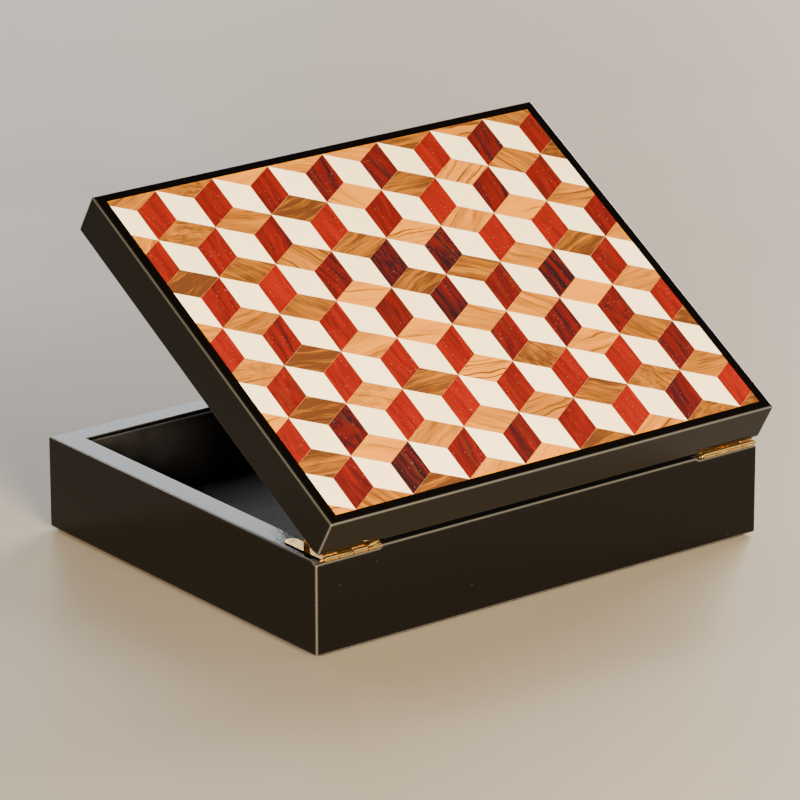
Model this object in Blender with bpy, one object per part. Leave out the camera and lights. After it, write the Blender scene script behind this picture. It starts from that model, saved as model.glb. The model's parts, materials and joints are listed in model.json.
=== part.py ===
"""Keepsake box in black lacquer: a shallow tray and a hinged lid with a marquetry top.

Two brass hinges with L-shaped leaves join them at the rear. Each hinge has a quadrant stay, a
curved strap round the hinge's own axis, which slides in both leaves and stops the lid when open.

Metres, +Z up. The origin is the middle of the underside, the front faces -Y, and the hinges are
at +Y. The lid is modelled shut and stands open at LID_REST, because its pivot is turned.
"""

import math

import bmesh
import bpy
from mathutils import Matrix, Vector

# Overall sizes
BOX_WIDTH = 0.240  # along X, the hinged side
BOX_DEPTH = 0.196  # along Y
BASE_HEIGHT = 0.0432  # table to the tray's rim
LID_HEIGHT = 0.020
RIM_GAP = 0.0017  # between the two rims when the lid is shut
WALL = 0.012  # tray walls and lid rails

# Fits
GAP = 0.0003  # between glued or seated pieces
PLAY = 0.0001  # round a screw
RUNNING = 0.00007  # round a hinge pin

# Joinery
EDGE_RADIUS = 0.0015
TONGUE_LENGTH = 0.002  # tongue of a front or rear wall, housed in the side wall
TONGUE_THICKNESS = 0.003
TONGUE_BELOW_RIM = 0.010  # leaves room for the hinge screws
TONGUE_SHOULDER = 0.006  # wood left at a tongue's other end
BOTTOM_THICKNESS = 0.0045
BOTTOM_REBATE = 0.006
FELT_THICKNESS = 0.001
FELT_INSET = 0.0025

# Lid top
BORDER_SIDE = 0.0053  # lacquered border round the marquetry
BORDER_FRONT = 0.0045
PANEL_THICKNESS = 0.002
MARQUETRY_THICKNESS = 0.0016

# Linings, card covered in velvet
LINING_THICKNESS = 0.002
LINING_BELOW_RIM = 0.0015
FLOOR_PAD_THICKNESS = 0.003
LID_PAD_THICKNESS = 0.002

# Hinges
HINGE_INSET = 0.0032  # side face to the leaf
HINGE_LENGTH = 0.0294
HINGE_BEHIND = 0.0012  # axis behind the rear face
BARREL_RADIUS = 0.00125
PIN_RADIUS = 0.00055
PIN_PROUD = 0.0018  # pin past the barrel's outer end
KNUCKLES = 4
KNUCKLE_GAP = 0.0003
RECESS_RAMP = 0.002  # slope where the recess under the barrel ends
LEAF_THICKNESS = 0.001
LEAF_MARGIN = 0.0023  # rim between the leaf and the inside of the wall
ARM_LENGTH = 0.028  # rear face to the arm's round end
SCREW_HEAD_RADIUS = 0.0017
SCREW_RIM = 0.00015
SCREW_CONE = 0.0008
SCREW_RADIUS = 0.0009
SCREW_LENGTH = 0.008
SCREW_SLOT = 0.0004

# Quadrant stays
STAY_THICKNESS = 0.0012
STAY_WIDTH = 0.003
STAY_LUG = 0.0008  # how far an end stands out past the strap's edges
STAY_LUG_ANGLE = math.radians(3)
STAY_END_ANGLE = math.radians(10)  # strap left in each pocket at the open stop
STAY_PLAY = 0.0003
STAY_COVER = 0.0008  # lid rail left above the pocket

# Motion
LID_OPENING = math.radians(95)
LID_REST = math.radians(30.5)

# Worked out from the sizes above
HALF_WIDTH = BOX_WIDTH / 2
HALF_DEPTH = BOX_DEPTH / 2
WALL_BOTTOM = FELT_THICKNESS + GAP
BOTTOM_TOP = WALL_BOTTOM + BOTTOM_THICKNESS
LID_BOTTOM = BASE_HEIGHT + RIM_GAP
LID_TOP = LID_BOTTOM + LID_HEIGHT
LEDGE = LID_TOP - MARQUETRY_THICKNESS - PANEL_THICKNESS - 2 * GAP
AXIS_Y = HALF_DEPTH + HINGE_BEHIND
AXIS_Z = BASE_HEIGHT + RIM_GAP / 2
LEAF_SET = BARREL_RADIUS - RIM_GAP / 2  # leaf below the rim, level with the barrel's underside
ARM_WIDTH = WALL - HINGE_INSET - LEAF_MARGIN
ARM_CENTRE = HINGE_INSET + ARM_WIDTH / 2
PLATE_START = BARREL_RADIUS + GAP - HINGE_BEHIND
REAR_CENTRE = PLATE_START + ARM_WIDTH / 2
STAY_HALF_ANGLE = LID_OPENING / 2 + STAY_END_ANGLE
STAY_TIP_RADIUS = (LEDGE - STAY_COVER - STAY_PLAY - AXIS_Z) / math.sin(STAY_HALF_ANGLE)
STAY_OUTER = STAY_TIP_RADIUS - STAY_LUG
STAY_INNER = STAY_OUTER - STAY_WIDTH

UP = Vector((0, 0, 1))
DOWN = Vector((0, 0, -1))
SIDES = {"left": -1, "right": 1}


def clear_scene():
    for obj in list(bpy.data.objects):
        bpy.data.objects.remove(obj, do_unlink=True)


def make_material(name, colour, roughness, metallic=0.0):
    material = bpy.data.materials.new(name)
    material.use_nodes = True
    shader = material.node_tree.nodes["Principled BSDF"]
    shader.inputs["Base Color"].default_value = (*colour, 1.0)
    shader.inputs["Roughness"].default_value = roughness
    shader.inputs["Metallic"].default_value = metallic
    return material


def add_pivot(name, turn):
    """An empty on the hinge axis, turned back by the given angle, which opens what it carries."""
    pivot = bpy.data.objects.new(name, None)
    bpy.context.scene.collection.objects.link(pivot)
    pivot.location = (0, AXIS_Y, AXIS_Z)
    pivot.rotation_euler = (-turn, 0, 0)
    return pivot


def add_piece(name, bm, material=None, pivot=None, smooth=False):
    """A named object from a bmesh drawn with the lid shut. A pivot carries it by the hinge axis."""
    bmesh.ops.recalc_face_normals(bm, faces=bm.faces)
    mesh = bpy.data.meshes.new(name)
    bm.to_mesh(mesh)
    bm.free()
    if pivot:
        mesh.transform(Matrix.Translation((0, -AXIS_Y, -AXIS_Z)))
    if material:
        mesh.materials.append(material)
    if smooth:
        mesh.shade_smooth()
        mesh.set_sharp_from_angle(angle=math.radians(35))
    piece = bpy.data.objects.new(name, mesh)
    bpy.context.scene.collection.objects.link(piece)
    piece.parent = pivot
    return piece


def combine(piece, name, bm, operation):
    """Joins or cuts a piece with a hidden helper, which moves with it."""
    helper = add_piece(f"{piece.name}_{name}", bm, pivot=piece.parent)
    helper.hide_render = True
    helper.display_type = "WIRE"
    modifier = piece.modifiers.new(name, "BOOLEAN")
    modifier.operation = operation
    modifier.object = helper
    modifier.solver = "EXACT"


def cut(piece, name, bm):
    combine(piece, name, bm, "DIFFERENCE")


def join(piece, name, bm):
    combine(piece, name, bm, "UNION")


def block(low, high):
    """A box between two corners, in any order."""
    bm = bmesh.new()
    low, high = Vector(low), Vector(high)
    size = [abs(b - a) for a, b in zip(low, high)]
    place = Matrix.Translation((low + high) / 2) @ Matrix.Diagonal((*size, 1))
    bmesh.ops.create_cube(bm, size=1.0, matrix=place)
    return bm


def round_outside(bm, outward):
    """Rounds each edge whose two faces both point along one of the outward directions."""
    bm.normal_update()
    outside = {
        face for face in bm.faces if any(face.normal.dot(way) > 0.9 for way in outward)
    }
    edges = [edge for edge in bm.edges if all(face in outside for face in edge.link_faces)]
    bmesh.ops.bevel(
        bm, geom=edges, offset=EDGE_RADIUS, segments=3, profile=0.5, affect="EDGES"
    )
    return bm


def prism(outline, direction):
    """A closed outline of 3-D points, extruded along a vector."""
    bm = bmesh.new()
    face = bm.faces.new([bm.verts.new(point) for point in outline])
    made = bmesh.ops.extrude_face_region(bm, geom=[face])
    moved = [item for item in made["geom"] if isinstance(item, bmesh.types.BMVert)]
    bmesh.ops.translate(bm, verts=moved, vec=direction)
    return bm


def rod(radius, start, end, segments=24):
    """A round bar along X, on the hinge axis."""
    bm = bmesh.new()
    place = Matrix.Translation(((start + end) / 2, AXIS_Y, AXIS_Z)) @ Matrix.Rotation(
        math.pi / 2, 4, "Y"
    )
    bmesh.ops.create_cone(
        bm, cap_ends=True, segments=segments, radius1=radius, radius2=radius,
        depth=abs(end - start), matrix=place,
    )
    return bm


def turned(profile, centre, up, segments=16):
    """A turned solid from (radius, height) points, both ends on its axis. up is +1 or -1."""
    bm = bmesh.new()
    points = [bm.verts.new((radius, 0, height * up)) for radius, height in profile]
    edges = [bm.edges.new(pair) for pair in zip(points, points[1:])]
    bmesh.ops.spin(
        bm, geom=points + edges, cent=(0, 0, 0), axis=(0, 0, 1),
        angle=2 * math.pi, steps=segments, use_merge=True,
    )
    bmesh.ops.remove_doubles(bm, verts=bm.verts, dist=1e-7)
    bmesh.ops.translate(bm, verts=bm.verts, vec=centre)
    return bm


def at_side(side, inward):
    """X at a distance inward from a side face."""
    return side * (HALF_WIDTH - inward)


def at_rear(inward):
    """Y at a distance inward from the rear face."""
    return HALF_DEPTH - inward


def frame_wall(name, place, rim, back, material, pivot=None):
    """One wall of a four-sided frame, from its rim to its back, the tray's bottom or the lid's top.

    The sides run the whole depth, and house the tongues of the other two.
    """
    inner_x, inner_y, middle = HALF_WIDTH - WALL, HALF_DEPTH - WALL, WALL / 2
    low_z, high_z = sorted((rim, back))
    up = 1 if rim > back else -1
    tongue_low, tongue_high = sorted((rim - up * TONGUE_BELOW_RIM, back + up * TONGUE_SHOULDER))
    if place in SIDES:
        way = SIDES[place]
        bm = block((way * inner_x, -HALF_DEPTH, low_z), (way * HALF_WIDTH, HALF_DEPTH, high_z))
        outward = [Vector((way, 0, 0)), Vector((0, 1, 0)), Vector((0, -1, 0)), UP, DOWN]
        wall = add_piece(name, round_outside(bm, outward), material, pivot)
        for rear in (1, -1):
            y = rear * (HALF_DEPTH - middle)
            housing = block(
                (way * (inner_x - GAP), y - TONGUE_THICKNESS / 2 - GAP, tongue_low - GAP),
                (way * (inner_x + TONGUE_LENGTH + GAP), y + TONGUE_THICKNESS / 2 + GAP, tongue_high + GAP),
            )
            cut(wall, "housing_rear" if rear > 0 else "housing_front", housing)
        return wall
    way = 1 if place == "rear" else -1
    end = inner_x - GAP
    bm = block((-end, way * inner_y, low_z), (end, way * HALF_DEPTH, high_z))
    wall = add_piece(name, round_outside(bm, [Vector((0, way, 0)), UP, DOWN]), material, pivot)
    y = way * (HALF_DEPTH - middle)
    for label, side in SIDES.items():
        tongue = block(
            (side * (end - TONGUE_LENGTH), y - TONGUE_THICKNESS / 2, tongue_low),
            (side * (inner_x + TONGUE_LENGTH), y + TONGUE_THICKNESS / 2, tongue_high),
        )
        join(wall, f"tongue_{label}", tongue)
    return wall


def leaf_outline(side, z, grow=0.0, start=PLATE_START):
    """The L-shaped leaf in plan: one arm along the rear wall, one with a round end on the side."""
    outer, inner = HINGE_INSET - grow, HINGE_INSET + ARM_WIDTH + grow
    far, across = HINGE_INSET + HINGE_LENGTH + grow, PLATE_START + ARM_WIDTH + grow
    radius, centre = (inner - outer) / 2, (inner + outer) / 2
    round_start = ARM_LENGTH + grow - radius
    end = [
        (centre + radius * math.cos(turn), round_start + radius * math.sin(turn))
        for turn in (math.pi * step / 8 for step in range(9))
    ]
    plan = [(outer, start), (far, start), (far, across), (inner, across), *end]
    return [Vector((at_side(side, u), at_rear(v), z)) for u, v in plan]


def screw_places():
    """(inward from the side, inward from the rear) of a leaf's three screws.

    The one at the corner stands beside the stay, and the one at the arm's end is past it.
    """
    return [
        (ARM_CENTRE + STAY_THICKNESS / 2 + STAY_PLAY + SCREW_HEAD_RADIUS + GAP, REAR_CENTRE),
        (ARM_CENTRE, ARM_LENGTH - ARM_WIDTH / 2),
        (HINGE_INSET + HINGE_LENGTH - ARM_WIDTH / 2, REAR_CENTRE),
    ]


def screw_profile(grow=0.0, above=0.0):
    """Screw from its flat head down, with its top at height 0. grow makes it a hole."""
    return [
        (0, above),
        (SCREW_HEAD_RADIUS + grow, above),
        (SCREW_HEAD_RADIUS + grow, -SCREW_RIM - grow),
        (SCREW_RADIUS + grow, -SCREW_RIM - SCREW_CONE - grow),
        (SCREW_RADIUS + grow, -SCREW_LENGTH),
        (0, -SCREW_LENGTH - SCREW_RADIUS - grow),
    ]


def half_at(up):
    """(rim height, leaf face that shows) for the tray's half of a hinge (up 1) or the lid's (-1)."""
    rim = BASE_HEIGHT if up > 0 else LID_BOTTOM
    return rim, rim + up * (LEAF_THICKNESS - LEAF_SET)


def knuckle_span(side, index):
    """X of a knuckle's two ends, the outermost first."""
    pitch = HINGE_LENGTH / KNUCKLES
    return (
        at_side(side, HINGE_INSET + index * pitch + KNUCKLE_GAP / 2),
        at_side(side, HINGE_INSET + (index + 1) * pitch - KNUCKLE_GAP / 2),
    )


def arc_strip(inner, outer, start, end, side, thickness):
    """A flat curved strip round the hinge axis. Angles rise from the front, towards the top."""
    steps = 14
    angles = [start + (end - start) * step / steps for step in range(steps + 1)]
    ring = [(outer, a) for a in angles] + [(inner, a) for a in reversed(angles)]
    x = at_side(side, ARM_CENTRE) - thickness / 2
    outline = [
        Vector((x, AXIS_Y - radius * math.cos(a), AXIS_Z + radius * math.sin(a)))
        for radius, a in ring
    ]
    return prism(outline, Vector((thickness, 0, 0)))


def stay_pocket(side, up):
    """Space in one rim for the stay with its lugs, from the rim to the end of its travel."""
    return arc_strip(
        STAY_INNER - STAY_LUG - STAY_PLAY,
        STAY_TIP_RADIUS + STAY_PLAY,
        up * math.radians(2),
        -up * (STAY_HALF_ANGLE + math.radians(1.5)),
        side,
        STAY_THICKNESS + 2 * STAY_PLAY,
    )


def house_hinge(walls, side, up):
    """Cuts the tray's or lid's side and rear walls for a leaf, its barrel, screws and stay."""
    rim, face = half_at(up)
    floor = rim - up * (LEAF_SET + GAP)
    height = Vector((0, 0, up * (LEAF_SET + 2 * GAP)))
    label = "left" if side < 0 else "right"
    above, end = rim + up * GAP, HINGE_INSET + HINGE_LENGTH + GAP
    profile = [(-GAP, floor), (end, floor), (end + RECESS_RAMP, above), (-GAP, above)]
    recess = [Vector((at_side(side, u), at_rear(-GAP), z)) for u, z in profile]
    inward = Vector((0, -PLATE_START - 2 * GAP, 0))
    for wall in walls:
        seat = prism(leaf_outline(side, floor, GAP, PLATE_START - GAP), height)
        cut(wall, f"leaf_seat_{label}", seat)
        cut(wall, f"barrel_recess_{label}", prism(recess, inward))
    cut(walls[0], f"stay_pocket_{label}", stay_pocket(side, up))
    for number, (u, v) in enumerate(screw_places()):
        centre = Vector((at_side(side, u), at_rear(v), face))
        pilot = turned(screw_profile(PLAY, GAP), centre, up)
        cut(walls[0] if u < WALL else walls[1], f"pilot_{label}_{number}", pilot)


def hinge_leaf(name, side, up, material, pivot=None):
    """One leaf: an L-shaped plate, and every other knuckle of the barrel."""
    _, face = half_at(up)
    under = face - up * LEAF_THICKNESS
    plate = prism(leaf_outline(side, under), Vector((0, 0, up * LEAF_THICKNESS)))
    leaf = add_piece(name, plate, material, pivot, smooth=True)
    for index in range(0 if up > 0 else 1, KNUCKLES, 2):
        outer, inner = knuckle_span(side, index)
        reach = PLATE_START + LEAF_THICKNESS
        join(leaf, f"tongue_{index}", block((outer, AXIS_Y, under), (inner, at_rear(reach), face)))
        join(leaf, f"knuckle_{index}", rod(BARREL_RADIUS, outer, inner))
    outer_end, inner_end = at_side(side, 0), at_side(side, 2 * HINGE_INSET + HINGE_LENGTH)
    cut(leaf, "pin_bore", rod(PIN_RADIUS + RUNNING, outer_end, inner_end))
    for number, (u, v) in enumerate(screw_places()):
        centre = Vector((at_side(side, u), at_rear(v), face))
        cut(leaf, f"countersink_{number}", turned(screw_profile(PLAY, GAP), centre, up))
    low_y, high_y = AXIS_Y - STAY_OUTER - STAY_PLAY, AXIS_Y - STAY_INNER + STAY_PLAY
    half = STAY_THICKNESS / 2 + STAY_PLAY
    x = at_side(side, ARM_CENTRE)
    slot = block((x - half, low_y, under - up * GAP), (x + half, high_y, face + up * GAP))
    cut(leaf, "stay_slot", slot)
    return leaf


def leaf_screws(stem, side, up, material, pivot=None):
    _, face = half_at(up)
    for number, (u, v) in enumerate(screw_places(), start=1):
        centre = Vector((at_side(side, u), at_rear(v), face))
        screw = add_piece(
            f"{stem}_{number}", turned(screw_profile(), centre, up), material, pivot, smooth=True
        )
        reach = Vector((SCREW_HEAD_RADIUS * 2, SCREW_SLOT / 2, SCREW_SLOT))
        cut(screw, "slot", block(centre - reach, centre + reach))


def quadrant_stay(name, side, material, pivot):
    """A strap round the hinge axis, with a lug at each end that can't pass a leaf's slot."""
    half = STAY_HALF_ANGLE
    strap = arc_strip(STAY_INNER, STAY_OUTER, -half, half, side, STAY_THICKNESS)
    stay = add_piece(name, strap, material, pivot, smooth=True)
    for label, end in (("low", -1), ("high", 1)):
        lug = arc_strip(
            STAY_INNER - STAY_LUG, STAY_TIP_RADIUS,
            end * (half - STAY_LUG_ANGLE), end * half, side, STAY_THICKNESS,
        )
        join(stay, f"lug_{label}", lug)
    return stay


def build_base(finish):
    """The tray: four walls, bottom panel, felt underneath and velvet inside."""
    walls = {
        place: frame_wall(f"base_wall_{place}", place, BASE_HEIGHT, WALL_BOTTOM, finish["lacquer"])
        for place in ("left", "right", "front", "rear")
    }
    inner_x, inner_y = HALF_WIDTH - WALL, HALF_DEPTH - WALL
    rebate_x, rebate_y = inner_x + BOTTOM_REBATE, inner_y + BOTTOM_REBATE
    for wall in walls.values():
        rebate = block(
            (-rebate_x, -rebate_y, WALL_BOTTOM - GAP), (rebate_x, rebate_y, BOTTOM_TOP + GAP)
        )
        cut(wall, "bottom_rebate", rebate)
    for label, side in SIDES.items():
        house_hinge((walls[label], walls["rear"]), side, 1)
    bottom = block(
        (GAP - rebate_x, GAP - rebate_y, WALL_BOTTOM), (rebate_x - GAP, rebate_y - GAP, BOTTOM_TOP)
    )
    add_piece("base_bottom_panel", bottom, finish["bare_wood"])
    felt_x, felt_y = HALF_WIDTH - FELT_INSET, HALF_DEPTH - FELT_INSET
    felt = block((-felt_x, -felt_y, 0), (felt_x, felt_y, FELT_THICKNESS))
    add_piece("base_underside_felt", felt, finish["felt"])

    low, high = BOTTOM_TOP + GAP, BASE_HEIGHT - LINING_BELOW_RIM
    face_x, face_y = inner_x - GAP, inner_y - GAP
    back_x, back_y = face_x - LINING_THICKNESS, face_y - LINING_THICKNESS
    for label, side in SIDES.items():
        lining = block((side * face_x, -face_y, low), (side * back_x, face_y, high))
        add_piece(f"base_lining_{label}", lining, finish["velvet"])
    for label, way in (("front", -1), ("rear", 1)):
        lining = block((GAP - back_x, way * face_y, low), (back_x - GAP, way * back_y, high))
        add_piece(f"base_lining_{label}", lining, finish["velvet"])
    pad_x, pad_y = back_x - GAP, back_y - GAP
    pad = block((-pad_x, -pad_y, low), (pad_x, pad_y, low + FLOOR_PAD_THICKNESS))
    add_piece("base_floor_pad", pad, finish["velvet"])


def build_lid(finish, pivot):
    """The lid: four rails, a panel in their rebate, marquetry over it and velvet under it."""
    rails = {
        place: frame_wall(f"lid_rail_{place}", place, LID_BOTTOM, LID_TOP, finish["lacquer"], pivot)
        for place in ("left", "right", "front", "rear")
    }
    field_x, field_y = HALF_WIDTH - BORDER_SIDE, HALF_DEPTH - BORDER_FRONT
    for rail in rails.values():
        rebate = block((-field_x, -field_y, LEDGE), (field_x, field_y, LID_TOP + GAP))
        cut(rail, "top_rebate", rebate)
    for label, side in SIDES.items():
        house_hinge((rails[label], rails["rear"]), side, -1)
    fit_x, fit_y = field_x - GAP, field_y - GAP
    panel_low = LEDGE + GAP
    panel_high = panel_low + PANEL_THICKNESS
    panel = block((-fit_x, -fit_y, panel_low), (fit_x, fit_y, panel_high))
    add_piece("lid_panel", panel, finish["bare_wood"], pivot)
    sheet = block((-fit_x, -fit_y, panel_high + GAP), (fit_x, fit_y, LID_TOP))
    add_piece("lid_marquetry", sheet, finish["marquetry"], pivot)
    pad_x, pad_y = HALF_WIDTH - WALL - GAP, HALF_DEPTH - WALL - GAP
    pad = block((-pad_x, -pad_y, LEDGE - LID_PAD_THICKNESS), (pad_x, pad_y, LEDGE))
    add_piece("lid_lining", pad, finish["velvet"], pivot)


def build_hinge(label, side, brass, lid_pivot, stay_pivot):
    hinge_leaf(f"base_hinge_leaf_{label}", side, 1, brass)
    leaf_screws(f"base_hinge_screw_{label}", side, 1, brass)
    hinge_leaf(f"lid_hinge_leaf_{label}", side, -1, brass, lid_pivot)
    leaf_screws(f"lid_hinge_screw_{label}", side, -1, brass, lid_pivot)
    outer = at_side(side, HINGE_INSET - PIN_PROUD)
    inner = at_side(side, HINGE_INSET + HINGE_LENGTH + GAP)
    add_piece(f"hinge_pin_{label}", rod(PIN_RADIUS, outer, inner), brass, smooth=True)
    quadrant_stay(f"quadrant_stay_{label}", side, brass, stay_pivot)


def build():
    clear_scene()
    finish = {
        "lacquer": make_material("black_lacquer", (0.006, 0.005, 0.005), 0.05),
        "bare_wood": make_material("plain_wood", (0.45, 0.30, 0.17), 0.6),
        "marquetry": make_material("marquetry", (0.62, 0.30, 0.14), 0.12),
        "velvet": make_material("black_velvet", (0.010, 0.010, 0.013), 0.95),
        "felt": make_material("black_felt", (0.012, 0.012, 0.012), 0.95),
        "brass": make_material("brass", (0.83, 0.60, 0.27), 0.2, 1.0),
    }
    lid_pivot = add_pivot("lid_pivot", LID_REST)
    stay_pivot = add_pivot("stay_pivot", LID_REST / 2)
    build_base(finish)
    build_lid(finish, lid_pivot)
    for label, side in SIDES.items():
        build_hinge(label, side, finish["brass"], lid_pivot, stay_pivot)


build()
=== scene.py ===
"""Finishes a keepsake box: gloss lacquer, a marquetry lid, brass hinges and a velvet lining.

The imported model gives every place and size. Pieces of the lid are modelled with the lid shut,
and are then turned about the hinge until they stand as far open as the model's own lid.
"""

import itertools
import json
import math
import random

import bmesh
import bpy
from mathutils import Matrix, Vector, noise


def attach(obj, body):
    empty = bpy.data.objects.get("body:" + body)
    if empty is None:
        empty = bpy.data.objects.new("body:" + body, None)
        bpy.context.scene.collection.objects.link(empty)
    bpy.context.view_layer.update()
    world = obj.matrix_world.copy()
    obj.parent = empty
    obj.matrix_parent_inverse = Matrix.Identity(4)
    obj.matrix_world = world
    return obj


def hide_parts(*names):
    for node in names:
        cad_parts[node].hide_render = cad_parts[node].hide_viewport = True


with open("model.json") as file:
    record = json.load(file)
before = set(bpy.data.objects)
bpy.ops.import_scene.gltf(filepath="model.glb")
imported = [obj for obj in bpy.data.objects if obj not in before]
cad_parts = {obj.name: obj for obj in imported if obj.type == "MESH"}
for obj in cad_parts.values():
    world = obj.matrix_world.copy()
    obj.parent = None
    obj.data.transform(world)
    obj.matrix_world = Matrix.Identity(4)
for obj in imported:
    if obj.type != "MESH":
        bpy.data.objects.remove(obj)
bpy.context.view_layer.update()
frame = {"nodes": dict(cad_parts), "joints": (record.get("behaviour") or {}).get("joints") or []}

bl_info = {
    "name": "Keepsake Box Finish",
    "version": (1, 0, 0),
    "blender": (4, 5, 0),
    "location": "View3D > Sidebar > Keepsake Box",
    "description": "Lacquer, marquetry, brass and velvet for a hinged keepsake box",
    "category": "Add Mesh",
}

PLACES = ("left", "right", "front", "rear")
TRAY_WALLS = [f"base_wall_{place}" for place in PLACES]
LID_RAILS = [f"lid_rail_{place}" for place in PLACES]
SIDES = ("right", "left")
FIT = 0.0003  # what the model leaves between seated pieces
TOUCH = 0.00001  # keeps two faces out of one plane
SAME = 0.00002  # places closer than this count as one
FLAT = 0.99  # how far a face's normal has to lie along an axis
BENT = 0.995  # normals that agree less than this make an edge
# How fast a rounded edge takes on its painted highlight and its wear, by how far its faces turn from flat
EDGE_HIGHLIGHT_AND_WEAR = 5
RECESS_WIDTH = 0.0027  # the dip in a rim in front of the hinge axis
POCKET_PLAY = math.radians(1.5)
POCKET_START = 0.03  # radians past the middle of a stay
TILE_RIM_AREA = 0.00001  # the strips that a tile's trim leaves are smaller
GRAIN_SPREAD = 3
BED_DROP = 0.00003  # how far the glue lies under the veneer's face
BOARD_SEED, DRIVER_SEED = 41, 7
KNUCKLES = 4
HALF_KNUCKLE_GAP = 0.00022
TONGUE_LAP = 0.001
HOLE_RADIUS, HOLE_RIM, HOLE_DROP, HOLE_SLOPE, HOLE_SHANK = 0.0018, 0.0006, 0.00018, 0.0009, 0.002
HEAD_RIM, HEAD_SLOPE, POINT_LENGTH = 0.0002, 0.0008, 0.0014
SLOT_DEPTH = 0.0004
HEAD_TAPER = 0.55  # width of a screw's neck against its head
POINT_TAPER = 0.15  # width of a screw's point against its neck
LUG_ANGLE = math.radians(3)
SOFT_EDGE = 0.0009  # the rounded border of a padded board
SWELL_REACH = 0.006  # how far in from its border a board swells
RIPPLE, RIPPLE_SCALE = 0.35, 90
FLOOR_WIDTH = 12.0

HINGE = next(joint for joint in frame["joints"] if joint["name"] == "lid_hinge")
AXIS = Vector(HINGE["pos_m"])
REST_OPENING = math.radians(-HINGE["range_deg"][0])


# ---------------------------------------------------------------------- places in the model


def opened(share=1.0):
    """The turn about the hinge from shut to rest, or a share of it."""
    turn = Matrix.Rotation(-REST_OPENING * share, 4, "X")
    return Matrix.Translation(AXIS) @ turn @ Matrix.Translation(-AXIS)


def extent(nodes, place=None):
    """The lowest and highest corners of some nodes of the model, once turned by a matrix."""
    place = place or Matrix.Identity(4)
    points = [place @ vertex.co for node in nodes for vertex in frame["nodes"][node].data.vertices]
    return Vector(map(min, zip(*points))), Vector(map(max, zip(*points)))


def shut_extent(nodes):
    """The same for pieces of the lid, with the lid shut."""
    return extent(nodes, opened().inverted())


def near(a, b):
    return abs(a - b) < SAME


def at(edge, axis, place):
    """Whether the whole of an edge lies at a place along an axis."""
    return all(near(vertex.co[axis], place) for vertex in edge.verts)


def upright(edge):
    """Whether an edge runs along Z."""
    first, second = (vertex.co for vertex in edge.verts)
    return near(first.x, second.x) and near(first.y, second.y)


# ---------------------------------------------------------------------- modelling by hand


def select_only(*objects):
    bpy.ops.object.select_all(action="DESELECT")
    for obj in objects:
        obj.select_set(True)
    bpy.context.view_layer.objects.active = objects[0]


def settle(obj, place=None):
    """Applies an object's own place, and one more turn, to its mesh."""
    select_only(obj)
    if place:
        obj.matrix_world = place @ obj.matrix_world
    bpy.ops.object.transform_apply(location=True, rotation=True, scale=True)
    return obj


def named(name):
    """The object that an operator has just added, with its place applied."""
    obj = bpy.context.active_object
    obj.name = obj.data.name = name
    return settle(obj)


def block(name, low, high):
    low, high = Vector(low), Vector(high)
    bpy.ops.mesh.primitive_cube_add(size=1, location=(low + high) / 2, scale=high - low)
    return named(name)


def rod(name, radius, start, end, sides=40):
    """A round bar along X on the hinge axis."""
    bpy.ops.mesh.primitive_cylinder_add(
        vertices=sides, radius=radius, depth=abs(end - start),
        location=((start + end) / 2, AXIS.y, AXIS.z), rotation=(0, math.pi / 2, 0),
    )
    return named(name)


def edit(obj, kind="FACE"):
    select_only(obj)
    bpy.ops.object.mode_set(mode="EDIT")
    bpy.ops.mesh.select_mode(type=kind)
    bpy.ops.mesh.select_all(action="DESELECT")


def leave_edit():
    bpy.ops.object.mode_set(mode="OBJECT")


def pick(obj, kind, test):
    """In edit mode, selects the faces or edges that pass a test, and nothing else."""
    bpy.ops.mesh.select_mode(type=kind)
    bpy.ops.mesh.select_all(action="DESELECT")
    mesh = bmesh.from_edit_mesh(obj.data)
    for item in mesh.faces if kind == "FACE" else mesh.edges:
        if test(item):
            item.select_set(True)
    bmesh.update_edit_mesh(obj.data)


def push(offset):
    bpy.ops.mesh.extrude_region_move(TRANSFORM_OT_translate={"value": offset})


def turn_outward(obj):
    edit(obj)
    bpy.ops.mesh.select_all(action="SELECT")
    bpy.ops.mesh.remove_doubles(threshold=0.000001)
    bpy.ops.mesh.normals_make_consistent(inside=False)
    leave_edit()


def boolean(obj, tool, operation="DIFFERENCE"):
    """Cuts or joins an object with a tool, and takes the tool away."""
    select_only(obj)
    modifier = obj.modifiers.new(operation.title(), "BOOLEAN")
    modifier.operation = operation
    modifier.object = tool
    modifier.solver = "EXACT"
    bpy.ops.object.modifier_apply(modifier=modifier.name)
    bpy.data.objects.remove(tool)
    return obj


def duplicate(obj, name):
    select_only(obj)
    bpy.ops.object.duplicate(linked=False)
    twin = bpy.context.active_object
    twin.name = twin.data.name = name
    return twin


def mirrored(obj, name, axis, about=0.0):
    """A copy, mirrored in a plane across X, Y or Z."""
    twin = duplicate(obj, name)
    index = "XYZ".index(axis)
    twin.scale[index] = -1
    twin.location[index] = 2 * about
    settle(twin)
    turn_outward(twin)
    return twin


def round_edges(obj, test, radius, segments):
    """Rounds the edges that pass a test."""
    edit(obj, "EDGE")
    pick(obj, "EDGE", test)
    bpy.ops.mesh.bevel(offset=radius, segments=segments, profile=0.5, affect="EDGES", clamp_overlap=False)
    leave_edit()


def break_edges(obj, width):
    """Takes the sharpness off every edge of a metal piece."""
    select_only(obj)
    modifier = obj.modifiers.new("Broken edges", "BEVEL")
    modifier.width = width
    modifier.segments = 2
    modifier.limit_method = "ANGLE"
    modifier.angle_limit = math.radians(30)
    bpy.ops.object.modifier_apply(modifier=modifier.name)


def smooth(obj, angle=35):
    """Smooth shading that keeps broad faces flat."""
    select_only(obj)
    bpy.ops.object.shade_smooth_by_angle(angle=math.radians(angle))
    modifier = obj.modifiers.new("Flat faces", "WEIGHTED_NORMAL")
    modifier.keep_sharp = True
    modifier.weight = 80
    bpy.ops.object.modifier_apply(modifier=modifier.name)


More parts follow.
